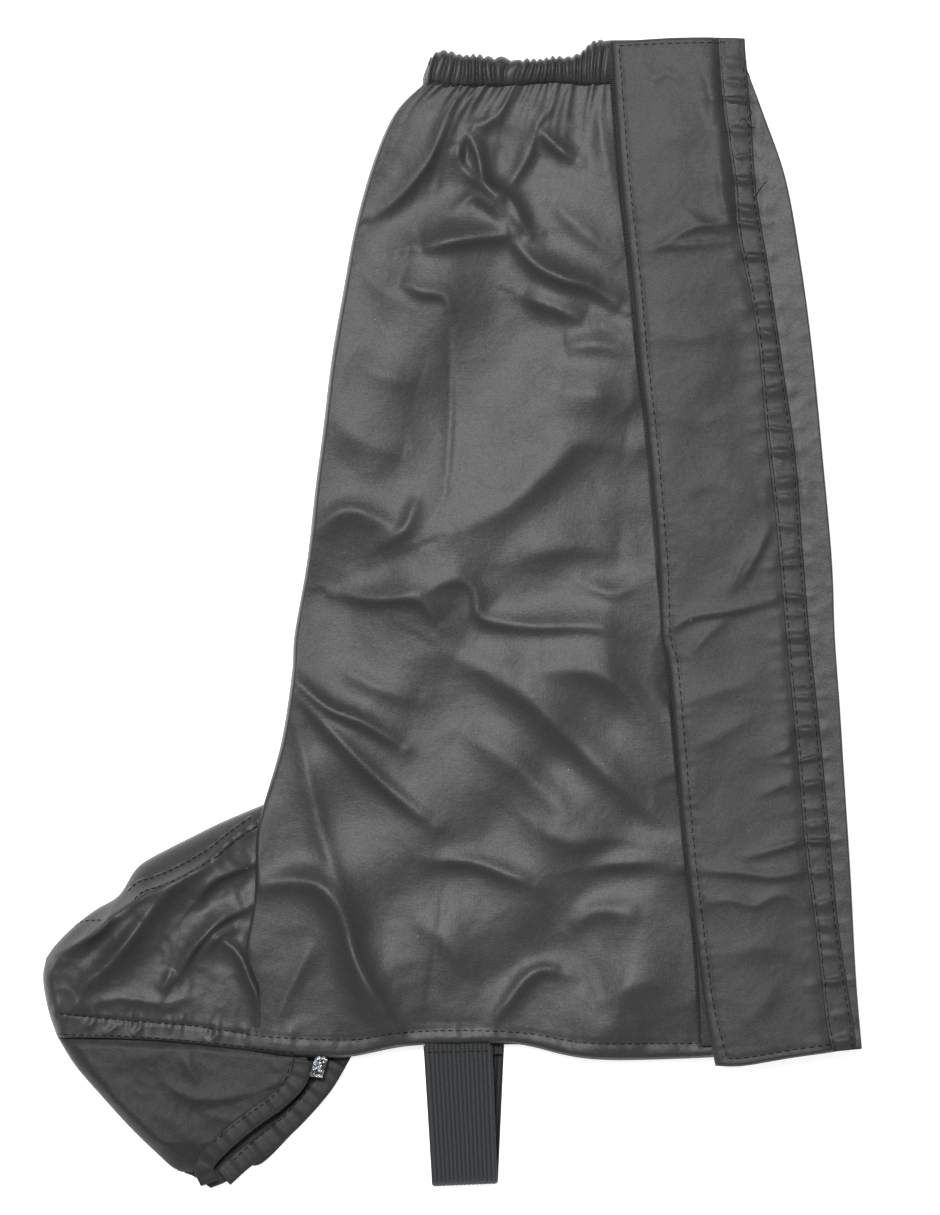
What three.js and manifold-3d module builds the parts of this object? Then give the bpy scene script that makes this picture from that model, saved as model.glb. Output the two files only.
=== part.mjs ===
// A rain gaiter (overboot) for the left foot, lying flat on its inner side with the outer side up.
// Coated nylon shell, gathered elastic cuff, full-length storm flap with hook-and-loop closure,
// toe cover with an elastic-hemmed sole pocket, and an elastic stirrup strap under the instep.
// Units are millimetres. +Y runs up the leg, -X to the toe, +Z away from the ground.
import * as THREE from "three";
import { mergeVertices } from "three/addons/utils/BufferGeometryUtils.js";
import Module from "manifold-3d";

const wasm = await Module();
wasm.setup();

// ---------------------------------------------------------------- driving dimensions
// Drawn from the heel end of the bottom hem; the finished group is centred at the end.
const legHeight = 389; // bottom hem to the top of the storm flap
const footLength = 316.4; // heel fold to toe tip
const calfLean = 46.5; // the calf fold leans in by this much at the top
const topWidth = 122; // flat width across the cuff, shin fold to calf fold
const ankleHeight = 145; // bottom hem to the inner corner of the ankle
const ankleWidth = 220.2; // heel fold to the ankle's inner corner
const instepHeight = 92.7; // where the shin fold meets the foot
const instepWidth = 231.4; // heel fold to that point
const vampHeight = 47.3; // top of the toe box
const vampLength = 304.5; // heel fold to that point
const toeHeight = 27; // centre of the toe's round nose
const toeHemRise = 5; // the hem is this much higher at the toe
const toeHemBack = 5; // the hem's front end lies this far behind the toe tip
const pocketHemDrop = 3; // and this much lower at the rear of the toe pocket

const cuffHeight = 13.5; // gathered casing
const cuffThickness = 4.2; // bunched cloth round the elastic
const cuffBelowFlap = 4; // the casing stops this far under the flap's top edge
const cuffToFlap = 5.1; // its outer run stops this far in front of the flap
const cuffElasticWidth = 9;
const cuffElasticThickness = 1.4;

const flapWidthTop = 42.4; // storm flap, front edge to its seam
const flapWidthBottom = 46.2;
const flapSeamTop = 55; // seam to the heel's vertical line, at the top
const flapSeamBottom = 10.7; // and at the hem
const flapOverhang = 5.5; // the flap's front corner hangs below the hem
const seamBandWidth = 8; // ruched strip between the flap's two seams
const seamBandInset = 1.5; // clear of the calf fold
const calfStripTuck = 4; // outer calf strip reaches under the flap's seam
const tapeWidth = 20; // hook tape and loop tape
const hookThickness = 1.2;
const loopThickness = 2;
const hookPeep = 1.5; // hook tape shows this much beyond the flap's front edge
const loopSetback = 2; // loop tape starts this far inside the same edge

const hemWidth = 8; // turned-in bottom hem
const seamTapeWidth = 6; // taped seam along the instep
const seamTapeThickness = 0.7;
const seamTapeInset = 0.6;

const pocketLength = 114.5; // toe pocket along the hem
const pocketDepth = 54.5; // lowest point below the hem
const pocketTipBack = 63; // toe tip to the pocket's lowest point
const pocketUnderlap = 10; // the outer half ends this much short of the inner half
const toeHemWidth = 8.5;
const toeHemThickness = 2;
const toeHemWall = 0.4;
const toeElasticWidth = 6;
const toeElasticThickness = 0.6;
const toeTabLength = 8; // bare end of the elastic above its casing

const strapWidth = 25.4;
const strapThickness = 1.4;
const strapDrop = 51; // visible loop below the hem
const strapFromHeel = 143.2; // heel fold to the strap's rear edge
const strapShear = 2.6; // the loop hangs this much towards the heel
const strapTaper = 1.4; // and is this much narrower at its end
const strapStagger = 4.6; // the inner run lies this much nearer the heel
const strapSewn = 10; // length sewn inside the hem

const cloth = 1; // one layer of shell cloth, as modelled
const fold = 1; // thickness of a folded edge
const legSpace = 10; // height of the hollow for the leg and boot
const gap = 0.3; // between pieces that touch

// ---------------------------------------------------------------- levels above the ground
const outerLevel = cloth + legSpace;
const outerTop = outerLevel + cloth;
const hookLevel = outerTop + gap;
const loopLevel = hookLevel + hookThickness + gap;
const flapLevel = loopLevel + loopThickness + gap;
const stripLevel = flapLevel - gap - cloth;
const outerHemLevel = outerLevel - gap - cloth;
const innerHemLevel = cloth + gap;
const cuffBase = legHeight - cuffBelowFlap - cuffHeight;

// ---------------------------------------------------------------- materials
const paint = (color, roughness, metalness = 0) =>
  new THREE.MeshStandardMaterial({ color, roughness, metalness });
const shellNylon = paint(0x3f4143, 0.42);
const flapNylon = paint(0x3c3a39, 0.45);
const bandNylon = paint(0x38393b, 0.5);
const hemNylon = paint(0x353638, 0.5);
const soleNylon = paint(0x363432, 0.48);
const webbing = paint(0x2f3133, 0.8);
const cuffRubber = paint(0x222325, 0.85);
const hookNylon = paint(0x1a1b1c, 0.7);
const loopNylon = paint(0x1f2021, 0.95);
const clearElastic = paint(0xc4c8ca, 0.15);

// ---------------------------------------------------------------- outline tools
const at = (x, y) => new THREE.Vector2(x, y);
const steps = 18; // straight pieces to a curved edge

// A leaning edge: a straight lean for most of its height and a quick turn-in at the top.
function leaningEdge(foot, height, lean, straightShare, power) {
  return Array.from({ length: steps + 1 }, (_, i) => {
    const t = i / steps;
    const shift = straightShare * t + (1 - straightShare) * t ** power;
    return at(foot.x + lean * shift, foot.y + height * t);
  });
}

const smooth = (...points) => new THREE.SplineCurve(points).getPoints(steps);

// Moves a line of points to its left by a distance, with mitred corners.
function beside(path, distance) {
  return path.map((point, i) => {
    const before = point.clone().sub(path[Math.max(i - 1, 0)]);
    const after = path[Math.min(i + 1, path.length - 1)].clone().sub(point);
    if (i === 0) before.copy(after);
    if (i === path.length - 1) after.copy(before);
    const a = before.normalize();
    const b = after.normalize();
    const left = at(-a.y - b.y, a.x + b.x).normalize();
    const mitre = left.dot(at(-a.y, a.x));
    return point.clone().addScaledVector(left, distance / mitre);
  });
}

const ribbon = (path, from, to) => [...beside(path, from), ...beside(path, to).reverse()];

// Where a straight line through two points crosses a height.
const across = (line, y) =>
  line[0].x + ((line[1].x - line[0].x) * (y - line[0].y)) / (line[1].y - line[0].y);

// And the height of such a line at a place along the foot.
const heightAt = (line, x) =>
  line[0].y + ((line[1].y - line[0].y) * (x - line[0].x)) / (line[1].x - line[0].x);

// ---------------------------------------------------------------- solid tools
function solid(geometry) {
  geometry.deleteAttribute("normal");
  geometry.deleteAttribute("uv");
  const merged = mergeVertices(geometry);
  return new wasm.Manifold(
    new wasm.Mesh({
      numProp: 3,
      vertProperties: merged.attributes.position.array,
      triVerts: new Uint32Array(merged.index.array),
    }),
  );
}

function slab(outline, level, thickness) {
  const geometry = new THREE.ExtrudeGeometry(new THREE.Shape(outline), {
    depth: thickness,
    bevelEnabled: false,
  });
  return solid(geometry.translate(0, 0, level));
}

// Everything to the left of a directed line, moved off it by a distance.
const reach = 2 * (legHeight + footLength);
function leftOf([from, to], distance) {
  const along = to.clone().sub(from).normalize();
  const left = at(-along.y, along.x);
  const start = from.clone().addScaledVector(left, distance).addScaledVector(along, -reach);
  const end = start.clone().addScaledVector(along, 2 * reach);
  const far = [end, start].map((p) => p.clone().addScaledVector(left, reach));
  return slab([start, end, ...far], -reach, 2 * reach);
}
const rightOf = ([from, to], distance) => leftOf([to, from], distance);

// The same path with a straight piece added at each end, for cuts that run past the piece.
function lengthened(path, by) {
  const first = path[0].clone().sub(path[1]).setLength(by);
  const last = path.at(-1).clone().sub(path.at(-2)).setLength(by);
  return [first.add(path[0]), ...path, last.add(path.at(-1))];
}

// A flat tube of cloth along a path: a band with a through slot for its elastic.
function sleeve(path, from, to, level, thickness, wall) {
  const slotRun = ribbon(lengthened(path, thickness), from + wall, to - wall);
  const slot = slab(slotRun, level + wall, thickness - 2 * wall);
  return slab(ribbon(path, from, to), level, thickness).subtract(slot);
}

const gaiter = new THREE.Group();
gaiter.name = "gaiter";

function addPiece(name, body, material) {
  const { numProp, vertProperties, triVerts } = body.getMesh();
  const geometry = new THREE.BufferGeometry();
  const positions = new THREE.BufferAttribute(vertProperties, numProp);
  geometry.setAttribute("position", positions);
  geometry.setIndex(new THREE.BufferAttribute(triVerts, 1));
  const piece = new THREE.Mesh(geometry, material);
  piece.name = name;
  gaiter.add(piece);
}

// ---------------------------------------------------------------- shared edges
const heel = at(0, 0);
const shinTop = at(-calfLean - topWidth, cuffBase - gap);
const ankle = at(-ankleWidth, ankleHeight);
const toeHem = at(toeHemBack - footLength, toeHemRise);
const pocketRear = at(toeHem.x + pocketLength, -pocketHemDrop);
const calfEdge = leaningEdge(heel, legHeight, -calfLean, 0.5, 6);
const shinLean = shinTop.x - ankle.x;
const shinEdge = leaningEdge(ankle, shinTop.y - ankleHeight, shinLean, 0.56, 8).reverse();
const instepEdge = smooth(
  ankle,
  at(-instepWidth, instepHeight),
  at(-(instepWidth + vampLength) / 2, (instepHeight + vampHeight) / 2 + gap),
  at(-vampLength, vampHeight),
  at(-footLength, toeHeight),
  toeHem,
);
const foldEdge = [...shinEdge, ...instepEdge.slice(1)];
const footHem = [toeHem, pocketRear];
const hemEdge = [toeHem, pocketRear, heel];

// Straight lines up the leg, listed from the hem to the top.
const flapSeam = [at(-flapSeamBottom, 0), at(-flapSeamTop, legHeight)];
const flapFront = [
  at(-flapSeamBottom - flapWidthBottom, 0),
  at(-flapSeamTop - flapWidthTop, legHeight),
];
const strapRear = -strapFromHeel;
const doorFold = [at(strapRear + strapStagger + 2, 0), shinTop];
const doorEdge = beside(flapFront, -tapeWidth);
const cuffEnd = flapFront[1].x - cuffToFlap;

// ---------------------------------------------------------------- inner side
// One layer of cloth, leg and foot together, that the whole gaiter rests on.
const rimSpace = (edge) =>
  slab(ribbon(lengthened(edge, hemWidth), -fold, fold + gap), -reach, 2 * reach);
const insideRims = (body) => body.subtract(rimSpace(foldEdge)).subtract(rimSpace(calfEdge));
const belowCuff = rightOf([shinTop, at(0, shinTop.y)], 0);
const silhouette = [...calfEdge, at(shinTop.x, legHeight), ...foldEdge, ...footHem.slice(1)];
const innerLayer = slab(silhouette, 0, cloth).intersect(belowCuff);
addPiece("inner_side_panel", insideRims(innerLayer), shellNylon);

// ---------------------------------------------------------------- outer side
// The same L of cloth above, cut in two where it opens like a door, with its folded rim.
const outerOutline = [
  ...calfEdge,
  at(cuffEnd, legHeight),
  at(cuffEnd, shinTop.y),
  ...foldEdge,
  ...footHem,
];
const outerLayer = slab(outerOutline, outerLevel, cloth);
const foldRim = slab(ribbon(foldEdge, 0, fold), 0, outerTop);
const beforeDoor = leftOf(doorFold, gap / 2);
const behindDoorFold = rightOf(doorFold, gap / 2);
const door = behindDoorFold.intersect(leftOf(doorEdge, 0));
const aboveHem = leftOf(footHem, 0);
const rimmedPanel = outerLayer.add(foldRim).intersect(beforeDoor).intersect(aboveHem);
addPiece("outer_side_panel", rimmedPanel, shellNylon);
addPiece("closure_panel", outerLayer.intersect(door), shellNylon);

// The strip behind the flap's seam, folded round the calf to meet the inner side.
const behindFlap = rightOf(flapSeam, -calfStripTuck);
const calfStrip = slab(outerOutline, stripLevel, cloth).intersect(behindFlap);
const calfFold = slab(ribbon(calfEdge, 0, fold), 0, stripLevel + cloth);
addPiece("calf_panel", calfStrip.add(calfFold), shellNylon);

// ---------------------------------------------------------------- instep seam
const instepSeam = instepEdge.slice(4, -2);
const seamTape = ribbon(instepSeam, seamTapeInset, seamTapeInset + seamTapeWidth);
addPiece("instep_seam_tape", slab(seamTape, hookLevel, seamTapeThickness), hemNylon);

// ---------------------------------------------------------------- bottom hems
// Cloth turned up inside, one run for each panel it edges.
const hemRun = ribbon(hemEdge, 0.5, hemWidth);
const outerHem = slab(hemRun, outerHemLevel, cloth);
addPiece("bottom_hem_outer", insideRims(outerHem.intersect(beforeDoor)), hemNylon);
addPiece("bottom_hem_closure", outerHem.intersect(door), hemNylon);
addPiece("bottom_hem_inner", insideRims(slab(hemRun, innerHemLevel, cloth)), hemNylon);

// ---------------------------------------------------------------- gathered cuff
// A flat sleeve of bunched cloth on each side with the elastic running through it.
const cuffWall = (cuffThickness - cuffElasticThickness) / 2 - gap;
const calfAtCuff = across(calfEdge.slice(-2), legHeight - cuffBelowFlap) - fold - gap;
function addCuffSide(side, start, end, level) {
  const line = [at(start, cuffBase), at(end, cuffBase)];
  const casing = sleeve(line, 0, cuffHeight, level, cuffThickness, cuffWall);
  addPiece("cuff_casing_" + side, casing, bandNylon);
  const lift = (cuffHeight - cuffElasticWidth) / 2;
  const inset = [at(start + fold, cuffBase), at(end - fold, cuffBase)];
  const elasticLevel = level + (cuffThickness - cuffElasticThickness) / 2;
  const run = ribbon(inset, lift, lift + cuffElasticWidth);
  addPiece("cuff_elastic_" + side, slab(run, elasticLevel, cuffElasticThickness), cuffRubber);
}
addCuffSide("outer", shinTop.x + gap, cuffEnd - gap, outerLevel);
addCuffSide("inner", shinTop.x + gap, calfAtCuff, 0);

// ---------------------------------------------------------------- closure
// Hook tape on the door's edge faces up to the loop tape under the storm flap.
const tapeTrim = 2 * cloth; // tapes stop short of the hems
const upTo = (line, low, high) => [at(across(line, low), low), at(across(line, high), high)];
const tapeLine = upTo(flapFront, tapeTrim, legHeight - tapeTrim);
const hookRun = ribbon(tapeLine, hookPeep, hookPeep - tapeWidth);
const loopRun = ribbon(tapeLine, -loopSetback, -loopSetback - tapeWidth);
addPiece("hook_tape", slab(hookRun, hookLevel, hookThickness), hookNylon);
addPiece("loop_tape", slab(loopRun, loopLevel, loopThickness), loopNylon);

const flapOutline = [
  at(across(flapFront, -flapOverhang), -flapOverhang),
  at(flapSeam[0].x - gap / 2, 0),
  at(flapSeam[1].x - gap / 2, legHeight),
  flapFront[1],
];
addPiece("storm_flap", slab(flapOutline, flapLevel, cloth), flapNylon);

const calfClear = slab(ribbon(calfEdge, -seamBandWidth, seamBandInset), -reach, 2 * reach);
const seamBand = slab(ribbon(flapSeam, -gap / 2, -seamBandWidth), flapLevel, cloth);
addPiece("flap_seam_band", seamBand.subtract(calfClear), bandNylon);

// ---------------------------------------------------------------- toe pocket
// The sole under the toes, folded flat: two halves that hang from the foot's hem. Their edges
// are smooth curves through points at a share of the way along and of the way down to the tip.
const tip = at(pocketTipBack - footLength, -pocketDepth);
const below = (x) => at(x, heightAt(footHem, x) - gap);
const toePoint = below(toeHem.x + fold);
const rearPoint = below(pocketRear.x - fold);
const outerRearPoint = below(pocketRear.x - pocketUnderlap);
const between = (a, b, share, drop) => at(a.x + share * (b.x - a.x), drop * tip.y);
const soleFold = smooth(
  toePoint,
  between(toePoint, tip, 0.36, 0.55),
  between(toePoint, tip, 0.8, 0.87),
  tip,
);
const innerRear = smooth(
  tip,
  between(tip, rearPoint, 0.4, 0.79),
  between(tip, rearPoint, 0.75, 0.38),
  rearPoint,
);
const outerRear = smooth(
  tip,
  between(tip, outerRearPoint, 0.14, 0.65),
  between(tip, outerRearPoint, 0.7, 0.25),
  outerRearPoint,
);
const soleRim = slab(ribbon(soleFold, 0, fold), 0, outerTop);
const outerHalf = slab([...soleFold, ...outerRear.slice(1)], outerLevel, cloth);
const belowHem = rightOf(footHem, gap);
addPiece("toe_sole_outer", outerHalf.add(soleRim).intersect(belowHem), soleNylon);
const soleRimSpace = rimSpace(soleFold);
const innerHalf = slab([...soleFold, ...innerRear.slice(1)], 0, cloth);
addPiece("toe_sole_inner", innerHalf.subtract(soleRimSpace).intersect(belowHem), soleNylon);

// The rear edges are turned in as casings, and one clear elastic runs up both. Its end is bare
// at the top of the inner casing.
const turnStart = 5; // points of the edge left bare at the pocket's lowest corner
const elasticInset = (toeHemWidth - toeElasticWidth) / 2;
const elasticLift = (toeHemThickness - toeElasticThickness) / 2;
function addToeHem(side, edge, level, bareEnd) {
  const casing = edge.slice(turnStart);
  const body = sleeve(casing, gap, toeHemWidth, level, toeHemThickness, toeHemWall);
  addPiece("toe_hem_" + side, body.intersect(rightOf(footHem, gap + bareEnd)), soleNylon);
  return { run: edge.slice(1), level: level + elasticLift };
}
const elasticRuns = {
  outer: addToeHem("outer", outerRear, outerLevel - gap - toeHemThickness, 0),
  inner: addToeHem("inner", innerRear, cloth + gap, toeTabLength),
};

const elasticBand = ({ run, level }) =>
  slab(ribbon(run, elasticInset, elasticInset + toeElasticWidth), level, toeElasticThickness);
const turnHeight = tip.y + toeElasticWidth;
const turnLine = [
  at(tip.x - toeElasticWidth / 2, turnHeight),
  at(tip.x + toeElasticWidth, turnHeight),
];
const elasticTurn = slab(
  ribbon(turnLine, -toeElasticWidth / 3, toeElasticWidth / 3),
  elasticRuns.inner.level,
  elasticRuns.outer.level + toeElasticThickness - elasticRuns.inner.level,
);
const toeElastic = elasticBand(elasticRuns.outer)
  .add(elasticBand(elasticRuns.inner))
  .add(elasticTurn)
  .subtract(soleRimSpace)
  .intersect(belowHem);
addPiece("toe_elastic", toeElastic, clearElastic);

// ---------------------------------------------------------------- stirrup strap
// One loop of ribbed elastic: out of the outer hem, round its end and back into the inner hem.
const strapFront = strapRear - strapWidth;
const strapTop = heightAt([pocketRear, heel], strapFront) - gap;
const strapEnd = strapTop - strapDrop;
function strapOutline(stagger) {
  return [
    at(strapFront + stagger, strapTop),
    at(strapFront + strapShear + strapTaper, strapEnd),
    at(strapRear + strapShear, strapEnd),
    at(strapRear + stagger, strapTop),
  ];
}
const strapLevel = outerHemLevel - gap - strapThickness;
const strapBendLine = [
  at(strapFront + strapShear + strapTaper, strapEnd),
  at(strapRear + strapShear, strapEnd),
];
const strapBend = ribbon(strapBendLine, 0, fold);
const strapLoop = slab(strapOutline(0), strapLevel, strapThickness)
  .add(slab(strapOutline(strapStagger), 0, strapThickness))
  .add(slab(strapBend, 0, strapLevel + strapThickness));
addPiece("stirrup_strap", strapLoop, webbing);

function addStrapEnd(side, stagger, level) {
  const low = strapTop + 2 * gap;
  const outline = [
    at(strapFront + stagger, low),
    at(strapRear + stagger, low),
    at(strapRear + stagger, low + strapSewn),
    at(strapFront + stagger, low + strapSewn),
  ];
  addPiece("strap_end_" + side, slab(outline, level, strapThickness), webbing);
}
addStrapEnd("outer", 0, strapLevel);
addStrapEnd("inner", strapStagger, innerHemLevel + cloth + gap);

// ---------------------------------------------------------------- frame
// Origin under the centre of the whole part, on the ground.
const box = new THREE.Box3().setFromObject(gaiter);
const centre = box.getCenter(new THREE.Vector3());
gaiter.position.set(-centre.x, -centre.y, -box.min.z);

export default gaiter;
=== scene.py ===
import math
import random

import bmesh
import bpy
import numpy as np
from mathutils import Matrix, Vector, noise
from mathutils.bvhtree import BVHTree


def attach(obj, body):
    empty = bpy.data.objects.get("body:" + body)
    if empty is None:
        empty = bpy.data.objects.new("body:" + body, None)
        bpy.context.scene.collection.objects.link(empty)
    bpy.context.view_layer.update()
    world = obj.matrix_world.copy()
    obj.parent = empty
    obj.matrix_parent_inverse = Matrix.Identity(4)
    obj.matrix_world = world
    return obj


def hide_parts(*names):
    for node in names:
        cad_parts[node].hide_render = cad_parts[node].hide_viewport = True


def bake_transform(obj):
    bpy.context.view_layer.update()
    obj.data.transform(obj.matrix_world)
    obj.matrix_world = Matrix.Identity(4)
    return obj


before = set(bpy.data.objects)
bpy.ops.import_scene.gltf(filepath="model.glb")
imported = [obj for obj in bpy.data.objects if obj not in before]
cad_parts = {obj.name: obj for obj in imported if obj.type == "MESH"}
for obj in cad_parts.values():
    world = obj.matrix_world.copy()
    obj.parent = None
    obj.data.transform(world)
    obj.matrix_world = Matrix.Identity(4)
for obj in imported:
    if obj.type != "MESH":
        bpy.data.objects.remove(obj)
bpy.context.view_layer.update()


# ---- Where it is shown
# One gaiter lies flat on a white table with its outer side up, the toe to the left and the knee at
# the top. The camera looks straight down at it, with one soft light beside it, towards the knee.
MM = 0.001
view_middle = Vector((6.97, 2.6)) * MM
view_height = 467.8 * MM
camera_height = 2.2
sensor_height = 24
cloth_top = 12 * MM


def linked(name, data):
    piece = bpy.data.objects.new(name, data)
    bpy.context.scene.collection.objects.link(piece)
    return piece


camera_data = bpy.data.cameras.new("camera")
camera_data.sensor_fit = "VERTICAL"
camera_data.sensor_height = sensor_height
camera_data.sensor_width = sensor_height
camera_data.lens = sensor_height * camera_height / view_height
camera = linked("camera", camera_data)
camera.location = (*view_middle, camera_height + cloth_top)
bpy.context.scene.camera = camera


def new_material(name, **finish):
    """A material with a function that adds a node to it, and one that sets its shader's inputs."""
    material = bpy.data.materials.new(name)
    material.use_nodes = True
    tree = material.node_tree

    def put(inputs, values):
        for key, value in values.items():
            socket = inputs[key if isinstance(key, int) else key.replace("_", " ")]
            if isinstance(value, bpy.types.NodeSocket):
                tree.links.new(value, socket)
            else:
                socket.default_value = value

    def add(kind, settings=(), places=(), **inputs):
        node = tree.nodes.new(kind)
        for key, value in dict(settings).items():
            setattr(node, key, value)
        put(node.inputs, dict(places) | inputs)
        return node

    def shade(**inputs):
        put(tree.nodes["Principled BSDF"].inputs, inputs)

    shade(**finish)
    return material, add, shade


def mesh_of(shape, name):
    mesh = bpy.data.meshes.new(name)
    shape.to_mesh(mesh)
    shape.free()
    return mesh


table_size = 4.0
table_top = -0.6 * MM
table_shape = bmesh.new()
bmesh.ops.create_grid(table_shape, x_segments=1, y_segments=1, size=table_size / 2)
bmesh.ops.translate(table_shape, verts=table_shape.verts, vec=(0, 0, table_top))
table_mesh = mesh_of(table_shape, "table")
table = linked("table", table_mesh)
table_white, _, _ = new_material(
    "table_white", Base_Color=(0.93, 0.93, 0.94, 1), Roughness=0.9, Specular_IOR_Level=0.1,
    Emission_Color=(1, 1, 1, 1), Emission_Strength=0.7,
)
table_mesh.materials.append(table_white)


def soft_light(name, place, width, depth, power):
    """A soft box at place, in metres, turned to the middle of the view."""
    data = bpy.data.lights.new(name, "AREA")
    data.shape = "RECTANGLE"
    data.size = width
    data.size_y = depth
    data.energy = power
    light = linked(name, data)
    light.location = place
    aim = Vector((*view_middle, 0)) - Vector(place)
    light.rotation_mode = "QUATERNION"
    light.rotation_quaternion = aim.to_track_quat("-Z", "Y")


soft_light("knee_light", (-0.26, 0.52, 2.0), 0.6, 0.5, 43)
world = bpy.data.worlds.new("white_room")
world.use_nodes = True
world.node_tree.nodes["Background"].inputs["Color"].default_value = (1, 1, 1, 1)
world.node_tree.nodes["Background"].inputs["Strength"].default_value = 0.42
bpy.context.scene.world = world
bpy.context.scene.view_settings.view_transform = "Standard"


# ---- Outer side of the leg
# The near layer of black coated nylon, from the shin fold to the closure's edge under the flap. It
# is one cut sheet, creased from being packed, gathered at the cuff and folded over the foot.
cloth_thickness = 0.35
cell = 1.35
layer_top = 11.0
layer_floor = 0.6
under_tape = 12.0
shin_edge = [
    (-83, -167.6), (-79.7, -130), (-76.2, -109), (-75.5, -86), (-73.2, -75.3), (-66.2, -50),
    (-62, -23), (-61, -8), (-56.2, 20), (-53, 48), (-50, 71), (-46.6, 99), (-42.3, 124),
    (-38, 147.6), (-33, 167), (-28.6, 180), (-24, 190.5), (-19.2, 197.4), (-11.4, 204.6),
]
door_edge = [(117, -169.5), (109, -91), (99, -19), (95.5, 20), (87.5, 99), (80.7, 167), (77, 207)]
leg_hem = [
    (-83, -167.6), (-74, -168.8), (-61, -170.4), (-49.3, -170.8), (-38.5, -170.6), (-22, -167.3),
    (-11.6, -166.1), (4, -165.7), (20.4, -165.4), (31.2, -166.9), (41.2, -169.4), (52, -171.2),
    (64.7, -171.9), (82, -171.6), (100.5, -170.8), (117, -169.5),
]
cuff_seam = [(-11.4, 204.6), (12, 203.8), (36, 205.2), (61, 207.5), (77, 207)]


def smooth_line(points, count=120):
    """Places evenly spaced along the smooth curve through the points."""
    given = np.array(points, float)
    ends = np.vstack([2 * given[0] - given[1], given, 2 * given[-1] - given[-2]])
    share = np.linspace(0, 1, 16, endpoint=False)[:, None]
    fine = []
    for a, b, c, d in zip(ends, ends[1:], ends[2:], ends[3:]):
        straight = 2 * b + (c - a) * share
        bent = (2 * a - 5 * b + 4 * c - d) * share**2 + (3 * b - a - 3 * c + d) * share**3
        fine.append((straight + bent) / 2)
    fine = np.vstack([*fine, given[-1:]])
    run = np.r_[0, np.cumsum(np.linalg.norm(np.diff(fine, axis=0), axis=1))]
    places = np.linspace(0, run[-1], count)
    return np.column_stack([np.interp(places, run, fine[:, k]) for k in range(fine.shape[1])])


def length_of(line):
    return np.linalg.norm(np.diff(line, axis=0), axis=1).sum()


def at_share(line, share):
    places = np.linspace(0, 1, len(line))
    return np.column_stack([np.interp(share, places, line[:, k]) for k in range(line.shape[1])])


def between(left, right, bottom, top):
    """A function from the shares across and up to the place between four edge lines."""
    edges = [smooth_line(edge) for edge in (left, right, bottom, top)]

    def place(across, up):
        on_left, on_right = (at_share(edge, up) for edge in edges[:2])
        on_bottom, on_top = (at_share(edge, across) for edge in edges[2:])
        u, v = across[:, None], up[:, None]
        corners = [edges[0][0], edges[1][0], edges[0][-1], edges[1][-1]]
        low_side = (1 - u) * corners[0] + u * corners[1]
        high_side = (1 - u) * corners[2] + u * corners[3]
        sides = (1 - u) * on_left + u * on_right
        return sides + (1 - v) * on_bottom + v * on_top - (1 - v) * low_side - v * high_side

    width = max(length_of(edges[2]), length_of(edges[3]))
    length = max(length_of(edges[0]), length_of(edges[1]))
    return place, width, length


def cloth_piece(name, place, width, length, step=cell, thickness=cloth_thickness):
    """A sheet of cloth with a weave of its own. place turns the shares across and up into points in
    millimetres, and the thickness goes down from them."""
    shape = bmesh.new()
    shape.loops.layers.uv.new("weave")
    columns, rows = max(2, round(width / step)), max(2, round(length / step))
    bmesh.ops.create_grid(shape, x_segments=columns, y_segments=rows, size=0.5, calc_uvs=True)
    mesh = mesh_of(shape, name)
    share = np.empty(len(mesh.vertices) * 3)
    mesh.vertices.foreach_get("co", share)
    across, up = share.reshape(-1, 3)[:, :2].T + 0.5
    points = place(across, up) * MM
    mesh.vertices.foreach_set("co", points.ravel())
    weave = mesh.uv_layers["weave"]
    places = np.empty(len(mesh.loops) * 2)
    weave.data.foreach_get("uv", places)
    places = places.reshape(-1, 2) * (width * MM, length * MM)
    weave.data.foreach_set("uv", places.ravel())
    mesh.shade_smooth()
    mesh.update()
    piece = linked(name, mesh)
    wall = piece.modifiers.new("wall", "SOLIDIFY")
    wall.thickness = thickness * MM
    wall.offset = -1
    return piece


def rolled(distance, reach):
    """From 0 at a folded edge up to 1 at its reach, on a round shoulder."""
    inward = np.clip(distance / reach, 0, 1)
    return np.sqrt(1 - (1 - inward) ** 2)


def from_line(x, y, points, count=24):
    """Each place's distance from a line, its side (1 on the left) and its share along the line."""
    line = smooth_line(points, count)
    nearest = np.full(len(x), 1e9)
    side = np.ones(len(x))
    share = np.zeros(len(x))
    for k, (start, end) in enumerate(zip(line, line[1:])):
        run = end - start
        reach = np.clip(((x - start[0]) * run[0] + (y - start[1]) * run[1]) / (run @ run), 0, 1)
        away_x, away_y = x - start[0] - reach * run[0], y - start[1] - reach * run[1]
        distance = np.hypot(away_x, away_y)
        closer = distance < nearest
        nearest = np.where(closer, distance, nearest)
        side = np.where(closer, np.sign(run[0] * away_y - run[1] * away_x + 1e-9), side)
        share = np.where(closer, (k + reach) / (count - 1), share)
    return nearest, side, share


def fading(distance, reach):
    """1 where there is no distance, and nearly 0 from twice the reach on."""
    return np.exp(-((distance / reach) ** 2))


def folds(x, y, lines):
    """The height that folds add. Each is (points, height, reach on its left, reach on its right)."""
    height = np.zeros(len(x))
    for points, rise, left, right in lines:
        corners = np.array(points, float)
        room = 3.5 * max(left, right)
        low_corner, high_corner = corners.min(0) - room, corners.max(0) + room
        near = (x > low_corner[0]) & (x < high_corner[0]) & (y > low_corner[1]) & (y < high_corner[1])
        if not near.any():
            continue
        distance, side, share = from_line(x[near], y[near], points)
        reach = np.where(side > 0, left, right)
        crest = 0.35 * reach
        fall = np.exp((crest - np.sqrt(distance**2 + crest**2)) / reach * 1.4)
        height[near] += rise * fall * np.sin(np.pi * np.clip(share, 0.04, 0.96)) ** 0.6
    return height


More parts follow.
